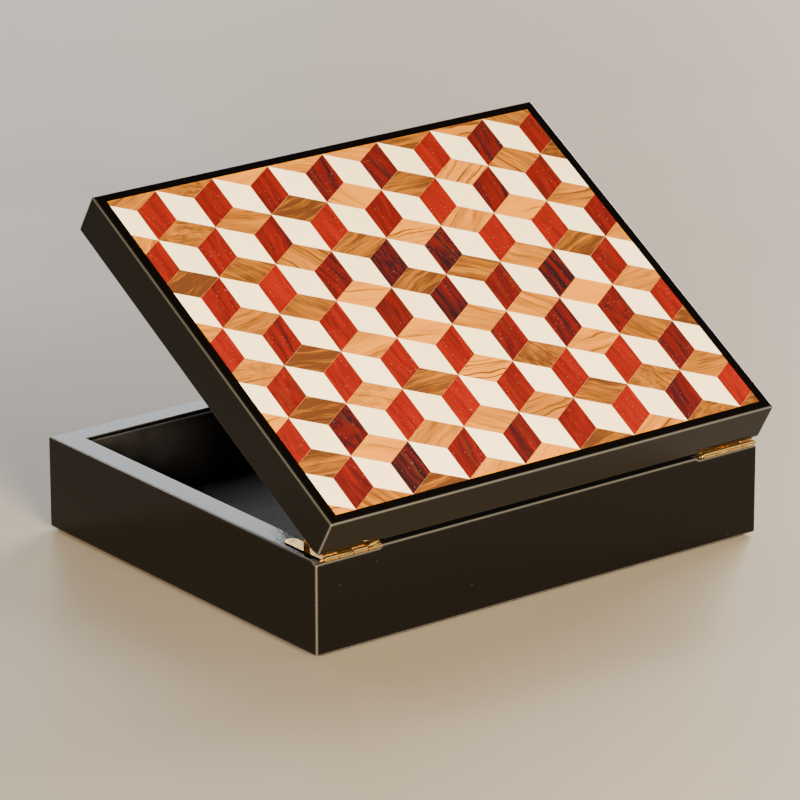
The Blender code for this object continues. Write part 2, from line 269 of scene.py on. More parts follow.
def finish(obj, material, body, nodes=()):
    """Gives a piece its material, its body and the nodes of the model that it stands for."""
    obj.data.materials.clear()
    obj.data.materials.append(material)
    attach(obj, body)
    if nodes:
        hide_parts(*nodes)
    return obj


# ---------------------------------------------------------------------- sizes and colours


def length(name, description, default):
    return bpy.props.FloatProperty(
        name=name, description=description, default=default, min=0.0, subtype="DISTANCE", unit="LENGTH"
    )


def colour(name, description, default):
    return bpy.props.FloatVectorProperty(
        name=name, description=description, default=default, min=0.0, max=1.0, size=3, subtype="COLOR"
    )


class KeepsakeSizes(bpy.types.PropertyGroup):
    """Sizes of the finish. The box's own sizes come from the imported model."""

    edge_radius: length("Outer edges", "Radius of the lacquered outer edges", 0.0011)
    rim_radius: length("Inner rims", "Radius of the rims' inner edges", 0.0004)
    recess_depth: length("Barrel recess", "Depth of the dip in the tray's rim under a hinge's barrel", 0.0012)
    recess_ramp: length("Recess ramp", "Length of the slope where that dip ends", 0.002)
    block_pitch: length("Block pitch", "Distance from one tumbling block to the next along a row", 0.02974)
    block_rise: length("Block rise", "Half the height of a honey block", 0.0086)
    block_start: length("First block", "Distance of the pattern's first block from the middle", 0.0895)
    block_rows: bpy.props.IntProperty(
        name="Rows", description="Rows of tumbling blocks over the lid's depth", default=7, min=1
    )
    glue_line: length("Glue line", "Width of the glue line between two blocks", 0.00012)
    leaf_thickness: length("Leaf thickness", "Thickness of a hinge leaf", 0.001)
    arm_width: length("Leaf arm", "Width of both arms of a hinge leaf", 0.0065)
    screw_slot: length("Screw slot", "Width of a screw's slot", 0.0004)
    stay_lug: length("Stay lug", "How far a stay's end stands out past the strap", 0.0008)
    lining_crown: length("Lining crown", "How far a lining swells between its edges", 0.0004)


class KeepsakeColours(bpy.types.PropertyGroup):
    """Colours of the finish, in linear light."""

    lacquer: colour("Lacquer", "Colour of the black lacquer", (0.0013, 0.0011, 0.0011))
    # Painted highlight: a pale grey laid on the rounded edges of the black lacquer, where the light catches
    # them
    rubbed: colour("Highlit edges", "Colour of the lacquer's rubbed edges", (0.062, 0.062, 0.064))
    honey_light: colour("Honey, light", "Lightest colour of the honey wood", (0.53, 0.197, 0.008))
    honey_dark: colour("Honey, dark", "Darkest colour of the honey wood", (0.075, 0.027, 0.011))
    red_light: colour("Red, light", "Lightest colour of the red wood", (0.178, 0.0082, 0.0042))
    red_dark: colour("Red, dark", "Darkest colour of the red wood", (0.014, 0.0055, 0.0085))
    bone: colour("Bone", "Colour of the bone blocks", (0.96, 0.86, 0.66))
    glue: colour("Glue", "Colour of the glue lines", (0.45, 0.20, 0.07))
    brass: colour("Brass", "Colour of the polished brass", (0.84, 0.54, 0.18))
    velvet: colour("Velvet", "Colour of the velvet lining", (0.006, 0.006, 0.008))
    felt: colour("Felt", "Colour of the felt under the box", (0.010, 0.010, 0.011))
    floor: colour("Floor", "Colour of the floor", (0.385, 0.35, 0.31))


# ---------------------------------------------------------------------- shader nodes


def feed(tree, socket, value):
    """Links a socket to another node's output, or sets it to a plain value."""
    if isinstance(value, bpy.types.NodeSocket):
        tree.links.new(value, socket)
    else:
        socket.default_value = value


def wire(tree, sockets, **values):
    """Feeds sockets by their names, with _ for a space."""
    for label, value in values.items():
        feed(tree, sockets[label.replace("_", " ")], value)


def add_node(tree, kind, inputs=None, **settings):
    """Adds a node, with its settings and inputs. An input is a value or another node's output."""
    made = tree.nodes.new(kind)
    for name, value in settings.items():
        setattr(made, name, value)
    for name, value in (inputs or {}).items():
        feed(tree, made.inputs[name], value)
    return made


def math_node(tree, operation, first, second):
    made = add_node(tree, "ShaderNodeMath", operation=operation)
    feed(tree, made.inputs[0], first)
    feed(tree, made.inputs[1], second)
    return made.outputs["Value"]


def plus(tree, first, second):
    return math_node(tree, "ADD", first, second)


def minus(tree, first, second):
    return math_node(tree, "SUBTRACT", first, second)


def times(tree, first, second):
    return math_node(tree, "MULTIPLY", first, second)


def swing(tree, value, amount):
    """A noise value made to lie about 0, and scaled."""
    return times(tree, minus(tree, value, 0.5), amount)


def mix_colour(tree, factor, first, second, blend="MIX"):
    made = add_node(tree, "ShaderNodeMix", data_type="RGBA", blend_type=blend)
    for index, value in ((0, factor), (6, first), (7, second)):
        feed(tree, made.inputs[index], value)
    return made.outputs[2]


def tinted(tree, colour_in, tint):
    return mix_colour(tree, 1.0, colour_in, (*tint, 1), "MULTIPLY")


def span(tree, value, low, high, to_low=0.0, to_high=1.0):
    """Maps a value from one range to another, held at both ends."""
    inputs = {"Value": value, "From Min": low, "From Max": high, "To Min": to_low, "To Max": to_high}
    return add_node(tree, "ShaderNodeMapRange", inputs, clamp=True).outputs["Result"]


def stretched(tree, vector, scale):
    return add_node(tree, "ShaderNodeMapping", {"Vector": vector, "Scale": scale}).outputs["Vector"]


def noise_value(tree, vector, scale, detail=2.0, roughness=0.5):
    """Noise of so many lumps a metre: one count for all directions, or one for each."""
    if isinstance(scale, tuple):
        vector, scale = stretched(tree, vector, scale), 1.0
    inputs = {"Vector": vector, "Scale": scale, "Detail": detail, "Roughness": roughness}
    return add_node(tree, "ShaderNodeTexNoise", inputs).outputs["Fac"]


def specks(tree, vector, scale, size, share):
    """Dots in some cells of a scatter. The size and the share of cells are ranges for span."""
    cells = add_node(
        tree, "ShaderNodeTexVoronoi", {"Vector": vector, "Scale": scale, "Randomness": 1.0}, feature="F1"
    ).outputs
    chance = add_node(tree, "ShaderNodeSeparateColor", {"Color": cells["Color"]}).outputs["Red"]
    return times(tree, span(tree, cells["Distance"], *size), span(tree, chance, *share))


def new_group(name, inputs, outputs):
    """An empty node group with named sockets. Returns it with its input and output sockets."""
    tree = bpy.data.node_groups.new(name, "ShaderNodeTree")
    for label, default in {"Vector": None, **inputs}.items():
        kind = "Vector" if default is None else "Color" if isinstance(default, tuple) else "Float"
        socket = tree.interface.new_socket(label, in_out="INPUT", socket_type=f"NodeSocket{kind}")
        if default is not None:
            socket.default_value = default
    for label in outputs:
        kind = "Color" if label == "Color" else "Float"
        tree.interface.new_socket(label, in_out="OUTPUT", socket_type=f"NodeSocket{kind}")
    return tree, tree.nodes.new("NodeGroupInput").outputs, tree.nodes.new("NodeGroupOutput").inputs


def wood_group():
    """Grain that runs along the first direction of its vector, in metres."""
    inputs = {
        "Light": (0.8, 0.5, 0.2, 1), "Dark": (0.3, 0.1, 0.03, 1), "Tone": 0.5, "Figure": 0.5,
        "Contrast": 0.5, "Streaks": 0.3, "Flecks": 0.0,
    }
    tree, given, made = new_group("Wood figure", inputs, ("Color", "Height"))
    figure = given["Figure"]
    bend = noise_value(tree, given["Vector"], (55, 90, 1))
    apart = add_node(tree, "ShaderNodeSeparateXYZ", {"Vector": given["Vector"]}).outputs
    across = plus(tree, apart["Y"], swing(tree, bend, 0.006))
    curved = {"X": apart["X"], "Y": across, "Z": figure}
    bent = add_node(tree, "ShaderNodeCombineXYZ", curved).outputs["Vector"]
    broad = noise_value(tree, bent, (28, 330, 9), 3.0, 0.6)
    lines = noise_value(tree, bent, (75, 1900, 9), 2.0, 0.7)
    cloud = noise_value(tree, bent, (160, 260, 9), 4.0, 0.65)
    curl = span(tree, figure, 0.72, 0.95)
    broad = plus(tree, times(tree, broad, minus(tree, 1.0, curl)), times(tree, cloud, curl))
    level = plus(tree, swing(tree, broad, given["Contrast"]), swing(tree, lines, 0.9))
    level = plus(tree, given["Tone"], level)
    level = math_node(tree, "MINIMUM", math_node(tree, "MAXIMUM", level, 0.0), 1.0)
    body = mix_colour(tree, level, given["Dark"], given["Light"])
    streak = noise_value(tree, bent, (16, 620, 31), 1.0, 0.4)
    streak = times(tree, span(tree, streak, 0.60, 0.70), given["Streaks"])
    marks = times(tree, streak, span(tree, figure, 0.15, 0.6))
    marked = mix_colour(tree, marks, body, (0.055, 0.02, 0.01, 1))
    fleck = specks(tree, stretched(tree, bent, (420, 1500, 1)), 1.0, (0.17, 0.08), (0.72, 0.78))
    wire(
        tree, made,
        Color=mix_colour(tree, times(tree, fleck, given["Flecks"]), marked, (0.85, 0.45, 0.33, 1)),
        Height=minus(tree, lines, times(tree, streak, 0.6)),
    )
    return tree


def polish_group():
    """Gloss polished by hand: a faint orange peel, a haze that comes and goes, and a few dust motes."""
    inputs = {"Gloss": 0.04, "Haze": 0.05, "Grain size": 0.003}
    tree, given, made = new_group("Polish", inputs, ("Roughness", "Height", "Dust"))
    vector = given["Vector"]
    peel = noise_value(tree, vector, math_node(tree, "DIVIDE", 1.0, given["Grain size"]), 1.0)
    wave = noise_value(tree, vector, 42.0, 1.0)
    patch = noise_value(tree, vector, 26.0, 5.0, 0.62)
    haze = times(tree, span(tree, patch, 0.45, 0.75), given["Haze"])
    wire(
        tree, made,
        Roughness=plus(tree, given["Gloss"], haze),
        Height=plus(tree, peel, times(tree, wave, 2.0)),
        Dust=specks(tree, vector, 260.0, (0.045, 0.02), (0.90, 0.93)),
    )
    return tree


def brushed_group():
    """Fine lines left by polishing along X, and a tarnish that gathers in patches."""
    inputs = {"Color": (0.8, 0.6, 0.3, 1), "Tarnish": 0.3}
    tree, given, made = new_group("Polished metal", inputs, ("Color", "Roughness", "Height"))
    lines = noise_value(tree, given["Vector"], (120, 5200, 5200), 2.0, 0.6)
    patch = noise_value(tree, given["Vector"], 420.0, 4.0, 0.6)
    dull = times(tree, span(tree, patch, 0.48, 0.70), given["Tarnish"])
    rough = plus(tree, 0.13, times(tree, dull, 0.30))
    wire(
        tree, made,
        Color=mix_colour(tree, dull, given["Color"], tinted(tree, given["Color"], (0.62, 0.46, 0.30))),
        Roughness=plus(tree, rough, times(tree, lines, 0.10)),
        Height=lines,
    )
    return tree


def nap_group():
    """Cloth with a short pile, brushed this way and that."""
    inputs = {"Color": (0.01, 0.01, 0.012, 1), "Pile": 0.0004, "Crush": 0.8}
    tree, given, made = new_group("Pile", inputs, ("Color", "Height"))
    fibres = noise_value(tree, given["Vector"], math_node(tree, "DIVIDE", 1.0, given["Pile"]))
    brushed = noise_value(tree, given["Vector"], (60, 90, 60), 3.0, 0.55)
    shade = times(tree, span(tree, brushed, 0.35, 0.70, -0.6, 1.2), given["Crush"])
    shade = plus(tree, shade, span(tree, fibres, 0.2, 0.8, -0.35, 0.35))
    shade = math_node(tree, "MAXIMUM", plus(tree, 1.0, shade), 0.15)
    shaded = add_node(tree, "ShaderNodeVectorMath", operation="SCALE")
    feed(tree, shaded.inputs[0], given["Color"])
    feed(tree, shaded.inputs["Scale"], shade)
    wire(
        tree, made, Color=shaded.outputs["Vector"], Height=plus(tree, fibres, times(tree, brushed, 0.5))
    )
    return tree


GROUPS = {"wood": wood_group, "polish": polish_group, "brushed": brushed_group, "nap": nap_group}


def place_group(tree, key, **inputs):
    """A shared effect inside a material, made the first time that it is wanted."""
    group = bpy.data.node_groups.get(f"keepsake_{key}")
    if not group:
        group = GROUPS[key]()
        group.name = f"keepsake_{key}"
    made = tree.nodes.new("ShaderNodeGroup")
    made.node_tree = group
    wire(tree, made.inputs, **inputs)
    return made.outputs


def object_place(tree):
    return tree.nodes.new("ShaderNodeTexCoord").outputs["Object"]


def attribute(tree, name):
    return add_node(tree, "ShaderNodeAttribute", attribute_name=name).outputs["Fac"]


def grain_map(tree):
    return add_node(tree, "ShaderNodeUVMap", uv_map="grain").outputs["UV"]


def bump(tree, height, distance, strength=1.0):
    inputs = {"Height": height, "Distance": distance, "Strength": strength}
    return add_node(tree, "ShaderNodeBump", inputs).outputs["Normal"]


def rgba(value):
    return (*value, 1.0)


# ---------------------------------------------------------------------- materials
# Each of these fills a new material's tree and feeds its one Principled shader.


def lacquer_material(tree, shader, colours):
    # Painted highlight: the rounded edges are mixed towards a pale grey, most where they bend most; the same
    # mask also makes them rougher, as wear
    highlight_and_wear = attribute(tree, "highlight_and_wear")
    polish = place_group(tree, "polish", Vector=object_place(tree), Gloss=0.07, Haze=0.05, Grain_size=0.0028)
    dusty = mix_colour(tree, polish["Dust"], rgba(colours.lacquer), (0.10, 0.09, 0.08, 1))
    wire(
        tree, shader, IOR=1.32,
        Base_Color=mix_colour(tree, times(tree, highlight_and_wear, 0.75), dusty, rgba(colours.rubbed)),
        Roughness=plus(tree, polish["Roughness"], times(tree, highlight_and_wear, 0.16)),
        Normal=bump(tree, polish["Height"], 0.000012),
    )


def under_lacquer(tree, shader, gloss, haze):
    """The clear lacquer that all the blocks of the marquetry share."""
    polish = place_group(tree, "polish", Vector=object_place(tree), Gloss=gloss, Haze=haze, Grain_size=0.004)
    wire(
        tree, shader, IOR=1.5, Specular_IOR_Level=0.0, Coat_Roughness=0.05, Coat_IOR=1.5,
        Roughness=polish["Roughness"], Coat_Weight=minus(tree, 0.8, polish["Dust"]),
    )


def veneer(tree, shader, light, dark, contrast, streaks, flecks):
    """Veneer with each block's own tone and figure, from its attributes."""
    wood = place_group(
        tree, "wood", Vector=grain_map(tree), Light=rgba(light), Dark=rgba(dark),
        Tone=attribute(tree, "tone"), Figure=attribute(tree, "figure"),
        Contrast=contrast, Streaks=streaks, Flecks=flecks,
    )
    under_lacquer(tree, shader, 0.38, 0.12)
    wire(tree, shader, Base_Color=wood["Color"], Normal=bump(tree, wood["Height"], 0.00001, 0.5))


def honey_material(tree, shader, colours):
    veneer(tree, shader, colours.honey_light, colours.honey_dark, 1.6, 0.85, 0.0)


def red_material(tree, shader, colours):
    veneer(tree, shader, colours.red_light, colours.red_dark, 1.5, 0.5, 0.35)


def bone_material(tree, shader, colours):
    grain = grain_map(tree)
    lines = noise_value(tree, grain, (110, 900, 1), 3.0, 0.6)
    cloud = noise_value(tree, grain, (90, 90, 1), 3.0)
    level = plus(tree, times(tree, attribute(tree, "tone"), 0.6), times(tree, cloud, 0.5))
    warm = tinted(tree, rgba(colours.bone), (0.95, 0.90, 0.80))
    plain = mix_colour(tree, span(tree, level, 0.25, 0.85), rgba(colours.bone), warm)
    veined = mix_colour(tree, span(tree, lines, 0.60, 0.78, 0.0, 0.22), plain, (0.62, 0.50, 0.36, 1))
    pit = specks(tree, stretched(tree, grain, (330, 520, 1)), 1.0, (0.10, 0.04), (0.955, 0.965, 0.0, 0.5))
    under_lacquer(tree, shader, 0.30, 0.10)
    wire(
        tree, shader, Base_Color=mix_colour(tree, pit, veined, (0.25, 0.16, 0.10, 1)),
        Normal=bump(tree, lines, 0.000006, 0.5),
    )


def glue_material(tree, shader, colours):
    patch = noise_value(tree, object_place(tree), 240.0, 3.0, 0.6)
    darker = tinted(tree, rgba(colours.glue), (0.45, 0.36, 0.30))
    wire(
        tree, shader, Coat_Weight=0.8, Coat_Roughness=0.05,
        Base_Color=mix_colour(tree, span(tree, patch, 0.4, 0.7), rgba(colours.glue), darker),
        Roughness=span(tree, patch, 0.3, 0.7, 0.35, 0.55),
    )


def plain_wood_material(tree, shader, colours):
    wood = place_group(
        tree, "wood", Vector=object_place(tree), Light=(0.62, 0.42, 0.24, 1), Dark=(0.32, 0.19, 0.09, 1),
        Tone=0.6, Figure=0.3, Contrast=0.6, Streaks=0.2, Flecks=0.0,
    )
    wire(
        tree, shader, IOR=1.45, Base_Color=wood["Color"],
        Roughness=span(tree, wood["Height"], 0.2, 0.8, 0.7, 0.5),
        Normal=bump(tree, wood["Height"], 0.00004),
    )


def brass_material(tree, shader, colours):
    metal = place_group(
        tree, "brushed", Vector=object_place(tree), Color=rgba(colours.brass), Tarnish=0.25
    )
    wire(
        tree, shader, Metallic=1.0, Base_Color=metal["Color"], Roughness=metal["Roughness"],
        Normal=bump(tree, metal["Height"], 0.0000004),
    )


def cloth(tree, shader, shade, pile, crush, sheen):
    nap = place_group(tree, "nap", Vector=object_place(tree), Color=rgba(shade), Pile=pile, Crush=crush)
    wire(
        tree, shader, Roughness=0.95, Specular_IOR_Level=0.15, Sheen_Weight=sheen, Sheen_Roughness=0.45,
        Sheen_Tint=(0.42, 0.42, 0.48, 1), Base_Color=nap["Color"],
        Normal=bump(tree, nap["Height"], pile * 0.6),
    )


def velvet_material(tree, shader, colours):
    cloth(tree, shader, colours.velvet, 0.00035, 0.8, 0.35)


def felt_material(tree, shader, colours):
    cloth(tree, shader, colours.felt, 0.0006, 0.4, 0.15)


def floor_material(tree, shader, colours):
    patch = noise_value(tree, object_place(tree), 3.0, 4.0, 0.6)
    shade = rgba(colours.floor)
    wire(
        tree, shader,
        Base_Color=mix_colour(tree, patch, shade, tinted(tree, shade, (0.9, 0.88, 0.86))),
        Roughness=span(tree, patch, 0.3, 0.7, 0.42, 0.55),
    )


MAKERS = {
    "lacquer": lacquer_material, "honey": honey_material, "red": red_material, "bone": bone_material,
    "glue": glue_material, "plain_wood": plain_wood_material, "brass": brass_material,
    "velvet": velvet_material, "felt": felt_material, "floor": floor_material,
}


def material_of(context, name):
    """The material of that name, made the first time that it is wanted."""
    material = bpy.data.materials.get(f"keepsake_{name}")
    if not material:
        material = bpy.data.materials.new(f"keepsake_{name}")
        material.use_nodes = True
        tree = material.node_tree
        MAKERS[name](tree, tree.nodes["Principled BSDF"].inputs, context.scene.keepsake_colours)
    return material


# ---------------------------------------------------------------------- lacquered cases


def sink(size, opening, depth):
    """Insets the selected face, of a given half size, to an opening's, and pushes it by a depth."""
    margin = size[1] - opening[1]
    bpy.ops.mesh.inset(thickness=margin)
    bpy.ops.transform.resize(value=(opening[0] / (size[0] - margin), 1, 1), center_override=(0, 0, 0))
    if depth:
        push((0, 0, depth))


def flat_at(height):
    """A test for level faces at a height."""
    return lambda face: abs(face.normal.z) > FLAT and near(face.calc_center_median().z, height)


def side_edges(low, high):
    """A test for the edges where the upright outer faces of a box end."""

    def side(face):
        middle = face.calc_center_median()
        return any(
            abs(face.normal[i]) > FLAT and (near(middle[i], low[i]) or near(middle[i], high[i]))
            for i in (0, 1)
        )

    def test(edge):
        first, second = edge.link_faces
        return (side(first) or side(second)) and first.normal.dot(second.normal) < BENT

    return test


def loop_edges(half, height):
    """A test for the edges of a level rectangle."""

    def test(edge):
        a, b = (vertex.co for vertex in edge.verts)
        level = near(a.z, height) and near(b.z, height)
        along = any(near(abs(a[i]), half[i]) and near(a[i], b[i]) for i in (0, 1))
        inside = all(abs(v[i]) < half[i] + 0.0001 for v in (a, b) for i in (0, 1))
        return level and along and inside

    return test


def case(name, low, high, inner, rebate, ledge, up):
    """A lacquered frame with a hole through it, and a rebate at the end away from its rim.

    up is 1 for the tray, whose rim is on top, and -1 for the lid.
    """
    rim, back = (high.z, low.z) if up > 0 else (low.z, high.z)
    size = (high.x, high.y)
    shell = block(name, low, high)
    edit(shell)
    pick(shell, "FACE", flat_at(rim))
    sink(size, inner, ledge - rim)
    bpy.ops.mesh.delete(type="FACE")
    pick(shell, "FACE", flat_at(back))
    sink(size, rebate, ledge - back)
    sink(rebate, inner, 0)
    bpy.ops.mesh.delete(type="FACE")
    leave_edit()
    turn_outward(shell)
    return shell


def barrel_recess(sizes, leaf, rim, depth, up):
    """The dip in a rim under a hinge's barrel, on the right side, with a ramp at both inner ends."""
    start, front = leaf[0].x - FIT, AXIS.y - RECESS_WIDTH
    floor, ceiling = rim - depth * up, rim + depth * up
    recess = block(
        "recess", (start, front, min(floor, ceiling)), (leaf[1].x + 0.02, AXIS.y + 0.01, max(floor, ceiling))
    )
    edit(recess, "EDGE")
    for axis, end in ((0, start), (1, front)):
        pick(recess, "EDGE", lambda edge: at(edge, axis, end) and at(edge, 2, ceiling))
        shift = [0, 0, 0]
        shift[axis] = -2 * sizes.recess_ramp
        bpy.ops.transform.translate(value=shift)
    leave_edit()
    return recess


def plate_end(leaf):
    """Y of a leaf's straight rear edge, which its knuckles join."""
    radius = leaf[1].z - AXIS.z
    return AXIS.y - radius - FIT


def leaf_plate(name, sizes, leaf, floor, ceiling, grow=0.0):
    """An L-shaped plate on the right side, with a round end on its side arm."""
    low, high = leaf
    rear = plate_end(leaf) + grow
    inner = high.x - sizes.arm_width - grow
    plate = block(name, (inner, low.y - grow, floor), (high.x + grow, rear, ceiling))
    half_width = sizes.arm_width / 2 + grow - TOUCH
    round_edges(plate, lambda edge: at(edge, 1, low.y - grow) and upright(edge), half_width, 10)
    front = rear - sizes.arm_width - 2 * grow
    across = block("across", (low.x - grow, front, floor), (high.x + grow - TOUCH, rear, ceiling))
    return boolean(plate, across, "UNION")


def stay_shape(node):
    """Radii and angles of a stay at rest, about the hinge axis and rising from the front."""
    points = [vertex.co - AXIS for vertex in frame["nodes"][node].data.vertices]
    radii = [math.hypot(point.y, point.z) for point in points]
    angles = [math.atan2(point.z, -point.y) for point in points]
    return min(radii), max(radii), min(angles), max(angles)


def arc(name, x_low, x_high, inner, outer, start, end, steps=28):
    """A strap bent round the hinge axis: one flat section, spun."""
    bpy.ops.mesh.primitive_plane_add(
        size=1, location=((x_low + x_high) / 2, AXIS.y - (inner + outer) / 2, AXIS.z)
    )
    section = bpy.context.active_object
    section.scale = (x_high - x_low, outer - inner, 1)
    section = named(name)
    settle(section, Matrix.Translation(AXIS) @ Matrix.Rotation(-start, 4, "X") @ Matrix.Translation(-AXIS))
    edit(section)
    bpy.ops.mesh.select_all(action="SELECT")
    bpy.ops.mesh.spin(steps=steps, angle=end - start, center=AXIS, axis=(1, 0, 0))
    leave_edit()
    turn_outward(section)
    return section


def cut_both(shell, tool):
    """Cuts a case with a tool on the right, and with its mirror image on the left."""
    boolean(shell, mirrored(tool, "left_tool", "X"))
    boolean(shell, tool)


def cut_hinges(shell, sizes, up):
    """Cuts a case for both hinges: the seats of the leaves and the pockets of the stays."""
    leaf = extent(["base_hinge_leaf_right"])
    floor = leaf[0].z - FIT
    if up < 0:
        floor = 2 * AXIS.z - floor
    cut_both(shell, leaf_plate("seat", sizes, leaf, min(floor, AXIS.z), max(floor, AXIS.z), FIT))
    inner, outer, start, end = stay_shape("quadrant_stay_right")
    half = (end - start) / 2 + POCKET_PLAY
    low, high = extent(["quadrant_stay_right"])
    lower, upper = (-half, POCKET_START) if up > 0 else (-POCKET_START, half)
    cut_both(shell, arc("pocket", low.x - FIT, high.x + FIT, inner - FIT, outer + FIT, lower, upper))


def mark_edges(shell):
    """Notes on each face how far it belongs to a rounded edge, for the painted highlight and the wear of the
    polish there.
    """
    layer = shell.data.attributes.new("highlight_and_wear", "FLOAT", "FACE")
    for face in shell.data.polygons:
        layer.data[face.index].value = min(1.0, EDGE_HIGHLIGHT_AND_WEAR * (1 - max(map(abs, face.normal))))


def thickness_of(node):
    """Size along X of a side wall of the model."""
    low, high = extent([node])
    return high.x - low.x


class KEEPSAKE_OT_tray(bpy.types.Operator):
    """Model the tray's four walls as one lacquered case"""

    bl_idname = "keepsake.tray"
    bl_label = "Lacquered tray"

    def execute(self, context):
        sizes = context.scene.keepsake_sizes
        low, high = extent(TRAY_WALLS)
        wall = thickness_of("base_wall_right")
        panel_high = extent(["base_bottom_panel"])[1]
        inner = (high.x - wall, high.y - wall)
        rebate = (panel_high.x + FIT, panel_high.y + FIT)
        tray = case("lacquered_tray", low, high, inner, rebate, panel_high.z + FIT, 1)
        leaf = extent(["base_hinge_leaf_right"])
        cut_both(tray, barrel_recess(sizes, leaf, high.z, sizes.recess_depth, 1))
        round_edges(tray, side_edges(low, high), sizes.edge_radius, 5)
        round_edges(tray, loop_edges(inner, high.z), sizes.rim_radius, 3)
        cut_hinges(tray, sizes, 1)
        smooth(tray)
        mark_edges(tray)
        finish(tray, material_of(context, "lacquer"), "base", TRAY_WALLS)
        return {"FINISHED"}


class KEEPSAKE_OT_lid(bpy.types.Operator):
    """Model the lid's four rails as one lacquered frame"""

    bl_idname = "keepsake.lid"
    bl_label = "Lacquered lid"

    def execute(self, context):
        sizes = context.scene.keepsake_sizes
        low, high = shut_extent(LID_RAILS)
        wall = thickness_of("lid_rail_right")
        field_high = shut_extent(["lid_marquetry"])[1]
        panel_low = shut_extent(["lid_panel"])[0]
        inner = (high.x - wall, high.y - wall)
        field = (field_high.x + FIT, field_high.y + FIT)
        lid = case("lacquered_lid", low, high, inner, field, panel_low.z - FIT, -1)
        leaf = extent(["base_hinge_leaf_right"])
        cut_both(lid, barrel_recess(sizes, leaf, low.z, 2 * AXIS.z - leaf[0].z + FIT - low.z, -1))
        round_edges(lid, side_edges(low, high), sizes.edge_radius, 5)
        round_edges(lid, loop_edges(inner, low.z), sizes.rim_radius, 3)
        cut_hinges(lid, sizes, -1)
        smooth(lid)
        mark_edges(lid)
        settle(lid, opened())
        finish(lid, material_of(context, "lacquer"), "lid", LID_RAILS)
        return {"FINISHED"}


# ---------------------------------------------------------------------- marquetry


def lying_block(sizes):
    """A lying rhomb, the top of a tumbling block."""
    bpy.ops.mesh.primitive_circle_add(vertices=4, radius=1, fill_type="NGON")
    tile = bpy.context.active_object
    tile.scale = (sizes.block_pitch / 2, sizes.block_rise, 1)
    return named("lying_block")


def standing_block(sizes, row, lean):
    """A standing rhomb, a side of a tumbling block, which climbs by a block's rise."""
    bpy.ops.mesh.primitive_plane_add(size=1)
    tile = bpy.context.active_object
    tile.scale = (sizes.block_pitch / 2, row - sizes.block_rise, 1)
    tile = named("standing_block")
    edit(tile, "EDGE")
    pick(tile, "EDGE", lambda edge: all(v.co.x * lean > 0 for v in edge.verts))
    bpy.ops.transform.translate(value=(0, sizes.block_rise / 2, 0))
    pick(tile, "EDGE", lambda edge: all(v.co.x * lean < 0 for v in edge.verts))
    bpy.ops.transform.translate(value=(0, -sizes.block_rise / 2, 0))
    leave_edit()
    return tile


def thicken(tile, sizes, thickness):
    """Trims a tile by half a glue line and gives it its thickness, with its top at height 0."""
    edit(tile)
    bpy.ops.mesh.select_all(action="SELECT")
    bpy.ops.mesh.inset(thickness=sizes.glue_line / 2)
    pick(tile, "FACE", lambda face: len(face.verts) == 4 and face.calc_area() < TILE_RIM_AREA)
    bpy.ops.mesh.delete(type="FACE")
    bpy.ops.mesh.select_all(action="SELECT")
    push((0, 0, -thickness))
    leave_edit()
    turn_outward(tile)


def stamp_grain(tile, angle, spot, tone, figure):
    """Turns and shifts a tile's grain map, and notes its tone and figure on its faces."""
    mesh = tile.data
    grain = mesh.uv_layers.get("grain") or mesh.uv_layers.new(name="grain")
    turn = Matrix.Rotation(angle, 2)
    for loop in mesh.loops:
        place = turn @ mesh.vertices[loop.vertex_index].co.xy
        grain.data[loop.index].uv = place + spot
    for label, value in (("tone", tone), ("figure", figure)):
        layer = mesh.attributes.get(label) or mesh.attributes.new(label, "FLOAT", "FACE")
        for item in layer.data:
            item.value = value


def trim(obj, half):
    """Cuts a flat layer of tiles to a rectangle."""
    edit(obj)
    for axis in (0, 1):
        for way in (-1, 1):
            plane, normal = [0, 0, 0], [0, 0, 0]
            plane[axis], normal[axis] = way * half[axis], way
            bpy.ops.mesh.select_all(action="SELECT")
            bpy.ops.mesh.bisect(plane_co=plane, plane_no=normal, use_fill=True, clear_outer=True)
    leave_edit()


